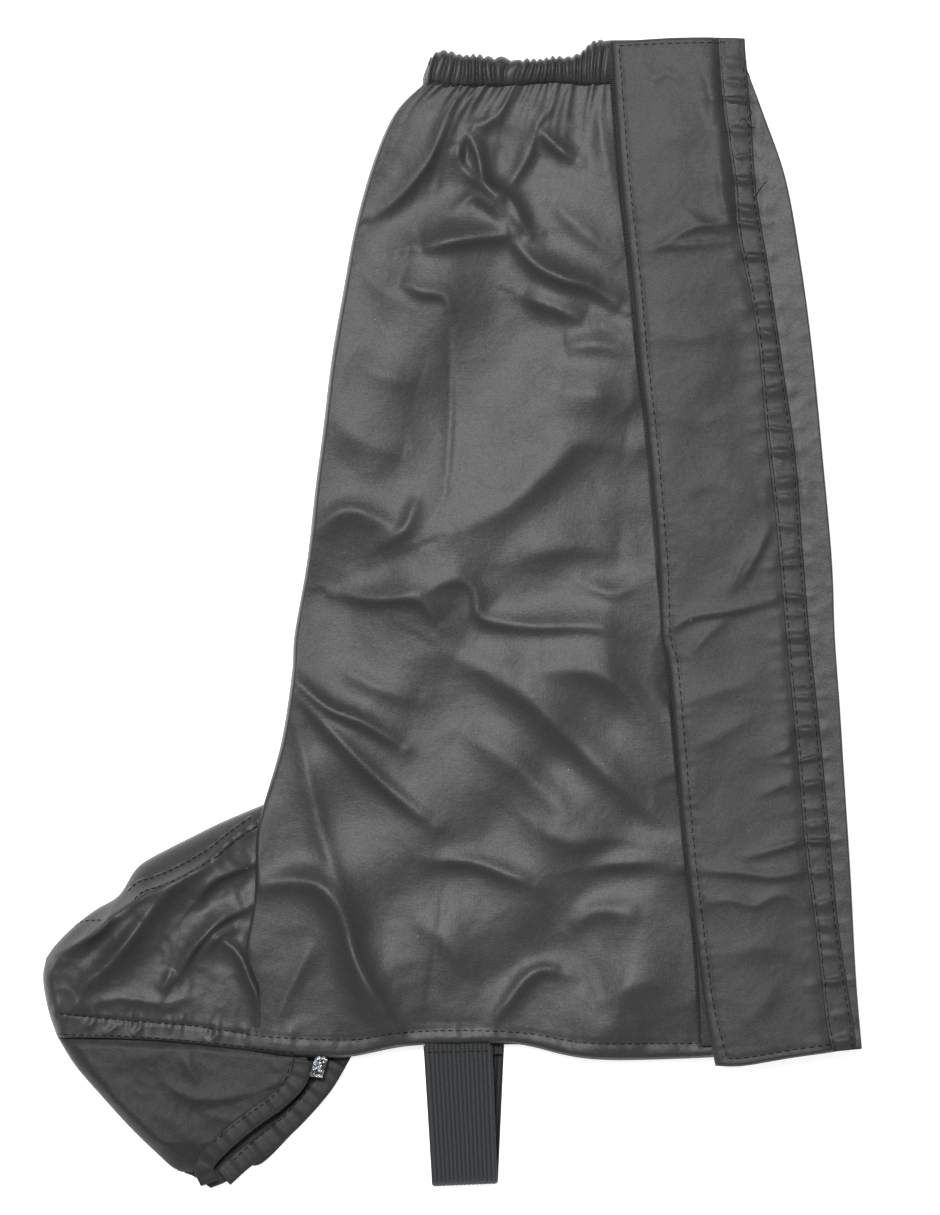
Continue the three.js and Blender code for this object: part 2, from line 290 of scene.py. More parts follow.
def crumple(x, y, size, seed, ridged=False):
    """Smooth unevenness about size millimetres across, from -1 to 1."""
    spot = [noise.noise(Vector((a / size, b / size, seed))) for a, b in zip(x, y)]
    value = np.array(spot)
    return 1 - 3 * np.abs(value) if ridged else value


leg_folds = [
    ([(3, 178), (6, 184.5), (10, 177), (13, 166), (23, 158.6), (30, 146)], 3.8, 4, 2.6),
    ([(1.6, 182), (4, 172.6), (12, 165), (22, 155), (29, 147)], 2.6, 2, 4.5),
    ([(1.7, 156), (8, 161), (14, 158), (21, 152)], 1.8, 3, 3),
    ([(33, 187), (40, 180), (48, 174)], 3.0, 4, 2.4),
    ([(18, 160), (25, 169), (30, 178), (33, 189), (39, 196)], 2.4, 6, 2.6),
    ([(4, 188), (14, 189.4), (21, 197), (23.6, 203)], 1.6, 3, 2.4),
    ([(56, 196), (60, 176), (65, 152)], 2.2, 7, 4),
    ([(-31, 153), (-22, 159), (-12, 170), (-5, 182), (1, 196)], 3.2, 7, 3),
    ([(-13, 140.5), (4, 144), (24, 146)], 4.2, 9, 3),
    ([(21.6, 146), (32, 134.5), (43, 128.7), (54, 125.6), (67, 117)], 4.6, 6, 3.2),
    ([(26, 123), (39.7, 117.5), (52, 113)], 3.0, 7, 3),
    ([(38, 160), (52, 146), (68, 136)], 2.0, 8, 5),
    ([(-21, 128), (-12, 124), (-3, 122), (0, 114)], 1.8, 5, 2),
    ([(-36, 137), (-30, 128), (-16, 118)], 1.0, 5, 5),
    ([(42, 102), (56, 104), (74, 99)], 3.4, 10, 5),
    ([(-40, 100), (-26, 92), (-12, 88)], 1.6, 9, 7),
    ([(-44, 74), (-34, 66), (-18, 62)], 1.4, 8, 7),
    ([(-1, 112), (-0.3, 79), (-2.6, 47), (-8, 36)], -0.7, 1.2, 3),
    ([(-13, 46), (-18.5, 33), (-30, 25)], 2.6, 5, 4),
    ([(-55, 30), (-41.5, 40), (-29, 36.5), (-19, 31)], 2.4, 4, 7),
    ([(-46, 8), (-30.4, 5.6), (-13.4, 5.2), (-4, -5)], 2.8, 7, 2.5),
    ([(-12, 8), (2.4, 13), (8.5, 9), (10, 0), (15, -3), (32, -5), (54, -5), (67, -9)], 2.4, 6, 2.5),
    ([(0, 32), (20, 41), (37, 55), (49, 66), (70, 64)], 4.6, 16, 9),
    ([(24, 20), (44, 26), (66, 24)], 2.2, 12, 7),
    ([(40, 88), (54, 84), (74, 82)], 1.8, 10, 8),
    ([(50, 12), (62, 8), (76, 12)], 1.8, 5, 3),
    ([(30, -22), (52, -22), (68, -30), (80, -48), (88, -66)], 4.2, 12, 7),
    ([(-2, -14), (26, -30), (44, -46), (58, -60), (90, -86)], 4.4, 12, 7),
    ([(2, -44), (24, -58), (50, -82)], 2.6, 10, 8),
    ([(30, -80), (46, -88), (64, -86), (90, -92)], 2.0, 8, 5),
    ([(-62, -24), (-48, -36), (-34, -42), (-18, -52)], 3.2, 3.5, 2.4),
    ([(-61, -30), (-44, -48), (-26, -66), (-6, -82)], 3.0, 4, 3),
    ([(-62, -34), (-56, -60), (-48, -92), (-36, -118)], 2.2, 5, 6),
    ([(-44, -20), (-30, -28), (-12, -34)], 1.4, 5, 4),
    ([(-8, -95), (6, -95.5), (18, -99), (32, -105)], 2.8, 5, 3),
    ([(50, -99), (62, -96.5), (78, -95.5), (94, -97)], 3.0, 7, 3),
    ([(44, -122), (56, -114), (74, -116)], 2.4, 7, 6),
    ([(-79, -106), (-66, -103), (-52, -104), (-42, -116), (-36, -138), (-26, -160)], 5.4, 6, 6),
    ([(-40, -127), (-30, -145.7), (-20.7, -162), (-14.8, -167)], 2.4, 3.4, 3.4),
    ([(-70, -160), (-60, -140), (-52, -124)], 1.5, 4, 4),
    ([(15, -158), (22, -149), (29, -140), (36, -137), (44, -139)], 2.8, 3.4, 3),
    ([(-14, -118), (-2, -126), (8, -142)], 1.4, 7, 6),
    ([(58, -148), (74, -142), (92, -146)], 1.6, 7, 6),
    ([(-2, -103), (-8.5, -145), (-9, -163)], -0.6, 1.2, 1.2),
    ([(-8, -157.4), (4, -157.6), (17, -159)], -0.6, 1.6, 2.4),
]
hem_stitch_line = [
    (-157.2, -153.2), (-127, -156.5), (-99.8, -158.8), (-75, -162.4), (-56, -163.6), (-37.3, -164),
    (-22, -161.5), (4, -160.4), (30, -161.6), (52, -165), (94, -165.4), (117, -164.4),
]


def seam_dip(x, y, points, depth, pucker, pitch, count=90):
    """A stitched line: a narrow groove, with small puckers across it."""
    distance, _, share = from_line(x, y, points, count)
    groove = -depth * fading(distance, 0.8)
    turns = share * length_of(smooth_line(points)) / pitch
    wave = np.sin(2 * np.pi * turns + 2.2 * np.sin(turns * 0.9)) * (0.6 + 0.4 * np.sin(turns * 1.7))
    return groove + pucker * wave * fading(distance, 3.6)


random.seed(7)
pleat_count = 22
pleats = [
    ((k + random.uniform(0.2, 0.8)) / pleat_count, random.uniform(1.0, 2.4), random.uniform(5, 22))
    for k in range(pleat_count)
]


edge_ease = 1.35


def leg_place(across, up):
    across = across**edge_ease
    spot = leg_between(across, up)
    x, y = spot.T
    from_shin = across * np.interp(up, [0, 1], [200, 88])
    edge = np.interp(y, [-168, -148, -128, -100, -74, -50], [6.4, 6.4, 8.4, 8.2, 8.0, layer_floor])
    reach = np.interp(y, [-168, -150, -128], [26, 20, 1.8])
    from_cuff = (1 - up) * leg_length
    gathered = np.clip(across * 1.19, 0, 1)
    pleat = np.zeros(len(x))
    for middle, rise, spread in pleats:
        lean = middle + 0.0007 * from_cuff * math.sin(40 * middle)
        pleat += rise * np.exp(-np.abs((gathered - lean) * 42) ** 1.4) * np.exp(-from_cuff / spread)
    height = layer_top + folds(x, y, leg_folds) + pleat - 0.6
    height += 3.6 * crumple((x + y) * 0.6, (y - x) * 1.1, 52, 3.1) + 1.3 * crumple(x, y, 27, 8.4)
    height += 0.3 * crumple(x, y, 11, 2.6)
    from_end = np.minimum(up * leg_length, from_cuff)
    height += 0.2 * crumple(x, y, 9, 5.7, ridged=True) * np.exp(-from_end / 60)
    height += seam_dip(x, y, hem_stitch_line, 0.5, 0.3, 6)
    height += 0.35 * fading(up * leg_length - 3.5, 3)
    height = edge + (height - edge) * rolled(from_shin + 0.01, reach)
    height -= 1.2 * (1 - rolled(up * leg_length, 1.2))
    over_tape = np.clip((across - 0.76) / 0.12, 0, 1)
    height += over_tape * (np.minimum(height, under_tape) - height)
    return np.column_stack([spot, height])


def dress(piece, cloth, slot, *nodes):
    """Gives a piece its finish, and hides the CAD nodes that it stands for."""
    piece.data.materials.append(cloth)
    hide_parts(*nodes)


leg_between, leg_width, leg_length = between(shin_edge, door_edge, leg_hem, cuff_seam)
leg = cloth_piece("outer_leg_sheet", leg_place, leg_width, leg_length)


def bands(add, weave, way, pitch, **inputs):
    """Bands across the weave, this many millimetres apart."""
    return add(
        "ShaderNodeTexWave", {"wave_type": "BANDS", "bands_direction": way}, Vector=weave,
        Scale=2 * math.pi / 20 / (pitch * MM), **inputs,
    )


def two_tints(add, pattern, low_tint, high_tint, low=0.0, high=1.0):
    """The colour that goes from one tint to the other as the pattern goes from low to high."""
    ramp = add("ShaderNodeValToRGB", Fac=pattern.outputs["Fac"])
    for element, place, tint in zip(ramp.color_ramp.elements, (low, high), (low_tint, high_tint)):
        element.position = place
        element.color = (*tint, 1)
    return ramp.outputs["Color"]


def nylon(name, tint, dark_tint, roughness, pitch=0.55):
    """Coated nylon: a fine plain weave, a soft sheen, small creases and a few specks of dust."""
    material, add, shade = new_material(name, Sheen_Weight=0.05, Sheen_Roughness=0.4)
    weave = add("ShaderNodeUVMap", {"uv_map": "weave"}).outputs["UV"]
    body = add("ShaderNodeTexCoord").outputs["Object"]
    threads = [
        bands(add, weave, way, pitch, Distortion=0.6, Detail=1.0).outputs["Fac"] for way in "XY"
    ]
    woven = add("ShaderNodeMath", {"operation": "MAXIMUM"}, enumerate(threads))
    mottle = add("ShaderNodeTexNoise", Vector=body, Scale=26.0, Detail=5.0, Roughness=0.6)
    crinkle = add("ShaderNodeTexNoise", Vector=body, Scale=210.0, Detail=6.0, Roughness=0.55)
    grain = add("ShaderNodeTexNoise", Vector=body, Scale=1300.0, Detail=3.0, Roughness=0.7)
    colour = two_tints(add, mottle, dark_tint, tint, 0.32, 0.68)
    speck = add("ShaderNodeTexVoronoi", {"feature": "F1"}, Vector=body, Scale=105.0)
    dust = add("ShaderNodeMapRange", Value=speck.outputs["Distance"], From_Min=0.025, From_Max=0.012)
    rare = add("ShaderNodeMath", {"operation": "GREATER_THAN"}, {0: speck.outputs["Color"], 1: 0.66})
    dusty = add(
        "ShaderNodeMath", {"operation": "MULTIPLY"}, {0: dust.outputs["Result"], 1: rare.outputs[0]}
    )
    mixed = add(
        "ShaderNodeMix", {"data_type": "RGBA"},
        {0: dusty.outputs[0], 6: colour, 7: (0.42, 0.42, 0.42, 1)},
    )
    shine = add(
        "ShaderNodeMapRange", Value=grain.outputs["Fac"],
        To_Min=roughness - 0.05, To_Max=roughness + 0.07,
    )
    glint = add(
        "ShaderNodeMapRange", Value=grain.outputs["Fac"], From_Min=0.3, From_Max=0.7,
        To_Min=0.27, To_Max=0.57,
    )
    creased = add("ShaderNodeBump", Height=crinkle.outputs["Fac"], Strength=0.35, Distance=0.0006)
    cloth = add(
        "ShaderNodeBump", Height=woven.outputs[0], Strength=0.3, Distance=0.00006,
        Normal=creased.outputs["Normal"],
    )
    shade(
        Base_Color=mixed.outputs[2], Specular_IOR_Level=glint.outputs["Result"],
        Roughness=shine.outputs["Result"], Normal=cloth.outputs["Normal"],
    )
    return material


shell = nylon("shell_nylon", (0.027, 0.027, 0.0285), (0.022, 0.022, 0.0235), roughness=0.47)
dress(leg, shell, "shell_nylon", "outer_side_panel", "closure_panel")
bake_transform(leg)


# ---- Outer side of the foot
# The same black nylon over the foot, lower than the leg's fold that lies on it. It turns down at
# the toe and along the instep, and its creases fan back from the toe.
foot_toe = [(-152.9, -163.2), (-156.3, -153), (-158.3, -141), (-157.1, -133)]
foot_end = [(-62, -169.8), (-62, -120), (-62, -69)]
foot_instep = [
    (-157.1, -133), (-153.2, -127.6), (-146.3, -120.7), (-137.8, -114.2), (-129, -108.8),
    (-123.4, -100), (-119.4, -96), (-112, -91.8), (-101.3, -86.4), (-88.9, -80.3), (-73.2, -73.7),
    (-62, -69),
]
foot_hem = [(-152.9, -163.2), (-127, -163.8), (-103.3, -165.4), (-74, -168.8), (-62, -169.8)]
under_leg, under_leg_level = -74, 8.6
foot_folds = [
    ([(-152, -134), (-138, -122), (-120, -109), (-98, -98), (-82, -84)], 3.6, 3, 6),
    ([(-137, -140), (-122, -122), (-108, -105.6), (-90, -95)], 3.4, 5, 5),
    ([(-106, -140), (-98.5, -128), (-89, -118.4), (-78, -113)], 3.4, 6, 1.6),
    ([(-99, -111.6), (-91.5, -102.7), (-76, -96)], 2.8, 5, 1.8),
    ([(-90, -125), (-82, -131), (-77.5, -141), (-74, -150), (-73.8, -161)], 3.0, 2.2, 3),
    ([(-96, -131), (-90, -124), (-83, -121)], 1.8, 2, 3),
    ([(-129, -108.6), (-132.4, -117.2), (-137, -122.6), (-155.7, -132.6)], 2.0, 3, 2),
    ([(-146, -146), (-130, -133), (-118, -118)], 2.8, 5, 5),
    ([(-143, -152), (-128, -148), (-112, -150), (-98, -147)], 1.2, 4, 3),
    ([(-113, -146), (-110, -142), (-108, -136)], 1.0, 2, 2),
    ([(-151, -156), (-144, -149), (-140, -139)], 1.0, 3, 3),
    ([(-142, -160), (-138, -157)], 0.7, 1.6, 1.6),
    ([(-134, -162), (-128, -158)], 0.8, 1.6, 1.6),
    ([(-124, -163), (-119, -158.5)], 0.7, 1.6, 1.6),
    ([(-95, -166), (-88, -160)], 0.6, 2, 2),
]


def foot_place(across, up):
    spot = foot_between(across, up)
    x, y = spot.T
    from_instep, _, _ = from_line(x, y, foot_instep, 40)
    from_toe, _, _ = from_line(x, y, foot_toe)
    top = np.interp(x, [-158, -120, -76, -62], [9.6, 9.2, 8.0, 7.2])
    height = top + 1.35 * folds(x, y, foot_folds)
    height += 0.8 * crumple(x, y, 30, 2.2) + 0.5 * crumple(x, y, 13, 9.1)
    height += 0.2 * crumple(x, y, 6, 4.4, ridged=True)
    height += seam_dip(x, y, hem_stitch_line, 0.5, 0.35, 4.2)
    height = np.where(x > under_leg, np.minimum(height, under_leg_level), height)
    turned = rolled(from_instep + 0.01, 8) * rolled(from_toe + 0.01, 5)
    height = layer_floor + (height - layer_floor) * turned
    return np.column_stack([spot, height - 1.0 * (1 - rolled(up * foot_length, 1.2))])


foot_between, foot_width, foot_length = between(foot_toe, foot_end, foot_hem, foot_instep)
foot = cloth_piece("outer_foot_sheet", foot_place, foot_width, foot_length, step=0.9)
dress(foot, shell, "shell_nylon", "outer_side_panel")
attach(foot, "gaiter")


# ---- Inner side
# The far layer that the gaiter lies on: one leg sheet from shin to calf and one foot sheet, the
# same black nylon, nearly flat on the table and stitched to the near layer along its folds.
calf_edge = [
    (158.2, -167), (155.9, -139), (154, -103), (151.7, -67), (149.8, -37), (147.8, -9), (146.7, 20),
    (143.2, 59.5), (139.4, 99), (135, 133), (129, 167), (120.5, 192), (113.5, 211),
]
inner_hem = [(-83, -167.6), (-30, -168), (40, -168), (110, -168), (158.2, -167)]
inner_cuff_seam = [(-11.4, 204.6), (36, 205), (77, 207), (113.5, 211)]


def flat_layer(edges, seed):
    """Lies on the table with a slight unevenness, a little inside the folds of the layer above."""
    def place(across, up):
        spot = edges(0.002 + 0.996 * across, 0.004 + 0.992 * up)
        return np.column_stack([spot, 0.75 + 0.3 * crumple(*spot.T, 24, seed)])
    return place


inner_between, inner_width, inner_length = between(shin_edge, calf_edge, inner_hem, inner_cuff_seam)
inner_leg = cloth_piece("inner_leg_sheet", flat_layer(inner_between, 6.3), inner_width, inner_length, 3)
inner_foot = cloth_piece("inner_foot_sheet", flat_layer(foot_between, 1.9), foot_width, foot_length, 2)
for layer in (inner_leg, inner_foot):
    dress(layer, shell, "shell_nylon", "inner_side_panel")
    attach(layer, "gaiter")


# ---- Calf strip
# The outer side behind the flap's seam: a narrow strip of the shell that turns round the calf fold
# and goes on as the inner side. It puckers where the seam pulls on it.
seam_line = [
    (147.5, -168), (145, -157), (141, -121), (137, -91), (134, -55), (130.5, -19), (128.6, 3),
    (125.5, 37), (121.7, 71), (118.2, 110), (111, 146.5), (109.3, 167), (105, 197.7), (103.2, 221.6),
]
band_line = [
    (154.2, -167), (153, -157), (147.5, -121), (144, -85), (140, -43), (136.3, -8), (134, 20),
    (131, 59.5), (125.5, 99), (120.5, 133), (116, 161), (114, 188), (112, 211), (111.4, 221.4),
]
calf_fold = [*calf_edge[:-1], (112.9, 213), (111.7, 221.3)]
calf_hem = [(147.5, -168), (158.2, -167)]
calf_top = [(103.2, 220), (111.7, 221.3)]
seam_level = 16.2
seam_length = 390
pucker_pitch = 9.6
puckers = []
pucker_place = 4.0
while pucker_place < seam_length - 2:
    rise, width = random.uniform(0.5, 1.5), random.uniform(0.7, 1.6)
    puckers.append((pucker_place, rise, width, random.uniform(-1.6, 1.6)))
    pucker_place += pucker_pitch * random.uniform(0.45, 1.35)


def ruched(along, across, reach=1.0):
    """The small ridges that a fuller cloth makes across its seam, at these places along it."""
    height = np.zeros(len(along))
    for place, rise, width, lean in puckers:
        distance = along - place - lean * (across - 0.5)
        near = np.abs(distance) < 8
        side = np.where(distance[near] > 0, width * reach, 1.8 * width * reach)
        height[near] += rise * fading(distance[near], side)
    return height


def calf_place(across, up):
    across = 1 - (1 - across) ** edge_ease
    spot = calf_between(across, up)
    x, y = spot.T
    from_fold = np.linalg.norm(calf_between(np.ones(len(up)), up) - spot, axis=1)
    beside_band, _, _ = from_line(x, y, band_line, 60)
    level = seam_level - 0.3 + 0.7 * crumple(x, y, 30, 7.7)
    level += 0.1 * crumple(x, y, 8, 3.3, ridged=True) + 0.08 * beside_band
    level += 0.5 * ruched(up * seam_length, across, 1.3) * fading(beside_band, 4)
    tucked = fading(beside_band, 2.2)
    level += tucked * (np.minimum(level, seam_level - 0.4) - level)
    height = layer_floor + (level - layer_floor) * rolled(from_fold, 0.9)
    return np.column_stack([spot, height])


calf_between, _, calf_length = between(seam_line, calf_fold, calf_hem, calf_top)
calf_turned_width, calf_cut_width = 26, 32
calf = cloth_piece("calf_strip_sheet", calf_place, calf_turned_width, calf_length, step=0.9)
dress(calf, shell, "shell_nylon", "calf_panel")
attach(calf, "gaiter")


# ---- Storm flap
# A long flap over the closure, of a thinner, browner nylon, hemmed all round. It is sewn down
# along the calf side by the seam band and held shut along its front by the hook and loop tapes.
flap_front = [
    (101.3, -173.8), (97, -150), (93.2, -121), (89.7, -91), (86.6, -57), (83.2, -19), (80.5, -9),
    (79.3, 20), (75.5, 65), (71.6, 99), (68.5, 133), (64.7, 167), (60.8, 221),
]
flap_bottom = [(101.3, -173.8), (112, -173.6), (130, -170.6), (147.5, -168.2)]
flap_top = [(60.8, 221), (66, 220.6), (84, 221.6), (103.2, 221.8)]
flap_level = 16.4
flap_reach = 43
flap_folds = [
    ([(82, -8), (92, -1.5), (107, 1), (124, 5)], 1.5, 4, 1.4),
    ([(92, -16), (98, -8), (106, -2)], 0.8, 2, 2),
    ([(93, -98.5), (109, -99.5), (126, -101), (142, -96)], 1.5, 4, 1.6),
    ([(112, -93.5), (126, -90), (142, -84)], 1.2, 3, 1.5),
    ([(94, -111), (108, -110), (116, -112), (126, -108), (138, -111)], 1.0, 3, 2),
    ([(111, 12), (117, 22), (122, 33)], 1.3, 3, 1.5),
    ([(106, 8), (112, 20), (118, 28)], 0.8, 2.5, 2),
    ([(124, -54), (132, -50)], 0.9, 2, 1.4),
    ([(118, -70), (130, -64), (136, -60)], 0.9, 4, 2),
    ([(92, -52), (104, -46), (118, -38)], 0.8, 5, 4),
    ([(88, -34), (102, -30), (116, -26)], 0.6, 4, 3),
    ([(78, 140), (92, 148), (108, 151)], 1.3, 3, 2),
    ([(76, 141), (90, 142), (107, 143)], 1.0, 2, 2),
    ([(88, 156), (96, 150), (108, 146)], 0.7, 2.4, 2),
    ([(74, 210), (78, 206), (83, 208), (90, 203)], 0.7, 3, 2),
    ([(95, 212), (99, 200), (100, 186)], 0.9, 5, 2),
    ([(70, 188), (84, 184), (98, 190)], 1.0, 9, 8),
    ([(102, 180), (104, 160), (107, 150)], 0.9, 2.5, 2),
    ([(78, 110), (92, 106), (112, 112)], 0.7, 6, 5),
    ([(80, 78), (96, 74), (116, 82)], 0.6, 5, 5),
    ([(84, 44), (100, 50), (120, 46)], 0.7, 7, 6),
    ([(104, -132), (122, -128), (138, -136)], 0.7, 5, 4),
    ([(110, -160), (120, -150), (126, -140)], 0.6, 5, 4),
]
flap_hem_width = 3.6
flap_front_stitch = [(x + flap_hem_width, y) for x, y in flap_front[1:-1]]
flap_front_stitch = [(105.6, -170), *flap_front_stitch, (64.3, 218.4)]
flap_top_stitch = [(64.3, 218.6), (84, 219.4), (104, 219.6)]
flap_bottom_stitch = [(105.6, -170.6), (112, -170.5), (130, -167.4), (146.6, -165.2)]


def flap_place(across, up):
    spot = flap_between(across, up)
    x, y = spot.T
    from_front = across * flap_reach
    beside_seam = (1 - across) * flap_reach
    height = flap_level + folds(x, y, flap_folds) + 1.5 * crumple(x, y * 0.7, 34, 5.2)
    height += 0.6 * crumple(x, y, 15, 2.9) + 0.05 * crumple(x, y, 5.5, 8.8, ridged=True)
    height += 0.8 * ruched(up * seam_length, 1 - across, 1.4) * fading(beside_seam, 6)
    for line in (flap_front_stitch, flap_top_stitch, flap_bottom_stitch):
        height += seam_dip(x, y, line, 0.35, 0.12, 5)
    height -= 1.3 * np.exp(-from_front / 2.2) + 0.5 * np.exp(-from_front / 0.5)
    tucked = fading(beside_seam, 2.6)
    height += tucked * (np.minimum(height, seam_level - 0.4) - height)
    lips = rolled(np.minimum(up, 1 - up) * calf_length + 0.01, 1.2)
    return np.column_stack([spot, height - 1.0 * (1 - lips)])


flap_between, flap_width, flap_length = between(flap_front, seam_line, flap_bottom, flap_top)
flap = cloth_piece("storm_flap_sheet", flap_place, flap_width, flap_length, step=0.95)
flap_cloth = nylon("flap_nylon", (0.026, 0.0248, 0.0246), (0.021, 0.0202, 0.02), roughness=0.55)
dress(flap, flap_cloth, "flap_nylon", "storm_flap")
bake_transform(flap)


# ---- Flap seam band
# The flap's own edge, turned under and held by two rows of stitches. The cloth is fuller than the
# thread, so it ruches into small ridges from row to row.
band_margin = 1.2
band_width = 11


def band_place(across, up):
    left, right = at_share(seam_path, up), at_share(band_path, up)
    away = right - left
    away /= np.linalg.norm(away, axis=1)[:, None]
    left, right = left - away * band_margin, right + away * band_margin
    spot = left + (right - left) * across[:, None]
    middle = np.sin(np.pi * across)
    ridge = ruched(up * seam_length, across)
    small = 0.15 * crumple(spot[:, 0], spot[:, 1], 3.5, 9.9)
    groove = sum(np.exp(-(((across - row) * 12) ** 2)) for row in (0.13, 0.87))
    lip = rolled(np.minimum(across, 1 - across) * 9 + 0.01, 0.9)
    height = seam_level + 0.1 + (0.95 * ridge + small) * (0.3 + 0.7 * middle)
    height += 0.2 * middle - 0.15 * groove
    return np.column_stack([spot, height - 0.25 * (1 - lip)])


seam_path, band_path = smooth_line(seam_line, 200), smooth_line(band_line, 200)
band = cloth_piece("seam_band_sheet", band_place, band_width, calf_length, step=0.6)
dress(band, flap_cloth, "flap_nylon", "flap_seam_band")
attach(band, "gaiter")


# ---- Hook and loop tapes
# Two woven tapes 20 mm wide: the hooks are sewn on the closure's edge, and the soft loops under
# the flap. The hook tape's ribbed selvage peeps out along the flap's front.
tape_width = 20
hook_front = [
    (94.4, -166.2), (92.6, -130), (88.6, -91), (85.2, -57), (81.8, -19), (78, 20), (74.3, 65),
    (70.3, 99), (67.1, 133), (63.4, 167), (60.9, 200), (60.2, 210),
]
selvage_width = 1.7
hook_level = 13.4
loop_level = 14.3


def beside_line(line, left, right):
    """A function from the shares to places between two lines beside this one, in millimetres."""
    path = smooth_line(line, 200)
    slope = np.gradient(path, axis=0)
    across_line = np.column_stack([slope[:, 1], -slope[:, 0]])
    across_line /= np.linalg.norm(slope, axis=1)[:, None]

    def place(across, up):
        offset = left + (right - left) * across
        return at_share(path, up) + at_share(across_line, up) * offset[:, None]

    return place, length_of(path)


def pile_strip(name, line, left, right, level, rough, seed, step):
    """A strip of tape whose face stands up in fine loops or hooks."""
    edges, length = beside_line(line, left, right)

    def place(across, up):
        spot = edges(across, up)
        fuzz = crumple(*spot.T, 0.55, seed) * rough * np.minimum(1, 8 * np.minimum(across, 1 - across))
        return np.column_stack([spot, level + fuzz])
    return cloth_piece(name, place, right - left, length, step, 0.5), length


def tape_material(name, tint, scale):
    """A matt tape with a fine uneven pile."""
    material, add, shade = new_material(name, Roughness=0.75, Specular_IOR_Level=0.3)
    body = add("ShaderNodeTexCoord").outputs["Object"]
    pile = add("ShaderNodeTexNoise", Vector=body, Scale=scale, Detail=4.0, Roughness=0.7)
    deep_tint = [0.35 * part for part in tint]
    bump = add("ShaderNodeBump", Height=pile.outputs["Fac"], Strength=0.6, Distance=0.0003)
    shade(
        Base_Color=two_tints(add, pile, deep_tint, tint, 0.35, 0.65),
        Normal=bump.outputs["Normal"],
    )
    return material


hook_tape, hook_length = pile_strip(
    "hook_tape_strip", hook_front, selvage_width, tape_width, hook_level, rough=0.35, seed=3, step=0.6
)
hook_cloth = tape_material("hook_pile", (0.045, 0.047, 0.052), 1700)
dress(hook_tape, hook_cloth, "hook", "hook_tape")
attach(hook_tape, "closure")

loop_front = [(100.6, -169), *flap_front[1:-1], (61.1, 217)]
loop_inset = 2.6
loop_tape, loop_length = pile_strip(
    "loop_tape_strip", loop_front, loop_inset, loop_inset + tape_width, loop_level,
    rough=0.25, seed=11, step=0.8,
)
loop_cloth = tape_material("loop_pile", (0.03, 0.03, 0.032), 900)
dress(loop_tape, loop_cloth, "loop", "loop_tape")
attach(loop_tape, "flap")


# ---- Cuff
# The top edge is a casing of the shell nylon, drawn up into about two dozen gathers by a flat
# elastic inside it. It runs along the outer side to the closure and along the whole inner side.
cuff_bottom = [
    (-11.9, 202.8), (2, 202.2), (20, 202.9), (38, 204.2), (52, 203.2), (62, 203.6), (76, 204)
]
cuff_top = [
    (-8.9, 213.6), (-4.5, 217.6), (4, 215.8), (16, 214.8), (30, 213.9), (42, 214.8), (49, 216.2),
    (53, 220.2), (58, 221.4), (76, 221.4),
]
cuff_left = [(-11.9, 202.8), (-10.6, 208.6), (-8.9, 213.6)]
cuff_right = [(76, 204), (76, 221.4)]
inner_cuff_bottom = [(-11.9, 202.8), (20, 203.0), (62, 204.5), (112.6, 209)]
inner_cuff_top = [(-8.9, 213.2), (4, 214.8), (30, 213.6), (60, 215.5), (111.4, 219.5)]
inner_cuff_right = [(112.6, 209), (111.4, 219.5)]
gather_pitch = 3.2
cuff_shin_level = 2.4


def gathers(along, up, fade):
    """Rounded ridges with sharp valleys, uneven in pitch and depth, that fade out at fade."""
    drift = 1.7 * np.sin(along / 9) + 0.8 * np.sin(along / 3.7 + 1) + 0.8 * np.sin(up * 3 + along / 5)
    phase = np.pi * (along + drift) / gather_pitch
    depth = 0.68 + 0.32 * np.sin(along / 2.3 + 2) * np.sin(along / 5.1 + 1)
    ridge = np.abs(np.sin(phase)) ** 0.75 * depth
    return ridge / (1 + np.exp((along - fade) / 1.5))


def cuff_place(edges, length, fade, low, rise, upright):
    """The casing between edges: low and rise give its level, upright is 1 on the outer side."""
    def place(across, up):
        spot = edges(across, up)
        ridge = gathers(across * length, up, fade)
        arch = np.sin(np.pi * np.clip(up, 0.02, 0.98)) ** 0.7
        sewn = rolled(up * 13, 3.2)
        height = low + rise * arch + 2.9 * ridge * (0.5 + 0.5 * arch) * sewn
        height -= 3.4 * upright * (1 - rolled((1 - up) * 12 + 0.01, 2.6))
        height -= 1.5 * upright * (1 - sewn)
        height += upright * (cuff_shin_level - height) * (1 - rolled(across * length, 2.6))
        spot[:, 1] += 1.8 * (ridge - 0.5) * up**2 / (1 + np.exp((across * length - fade) / 1.5))
        return np.column_stack([spot, height])
    return place


cuff_between, cuff_length, _ = between(cuff_left, cuff_right, cuff_bottom, cuff_top)
cuff = cloth_piece(
    "cuff_outer_sheet", cuff_place(cuff_between, cuff_length, 72, 11.7, 1.7, 1), cuff_length, 13, 0.42
)
inner_cuff_between, inner_cuff_length, _ = between(
    cuff_left, inner_cuff_right, inner_cuff_bottom, inner_cuff_top
)
inner_cuff = cloth_piece(
    "cuff_inner_sheet", cuff_place(inner_cuff_between, inner_cuff_length, 118, 0.9, 2.0, 0.0),
    inner_cuff_length, 12, 0.6,
)
for casing, side, length in (
    (cuff, "outer", cuff_length), (inner_cuff, "inner", inner_cuff_length),
):
    dress(casing, shell, "hem_nylon", f"cuff_casing_{side}", f"cuff_elastic_{side}")
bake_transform(cuff)
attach(inner_cuff, "gaiter")


# ---- Bottom hem
# The lower edge is turned up 8 mm inside and stitched. The turned part lies just under the outer
# sheets, and on top of the inner ones.
above_all = 0.1


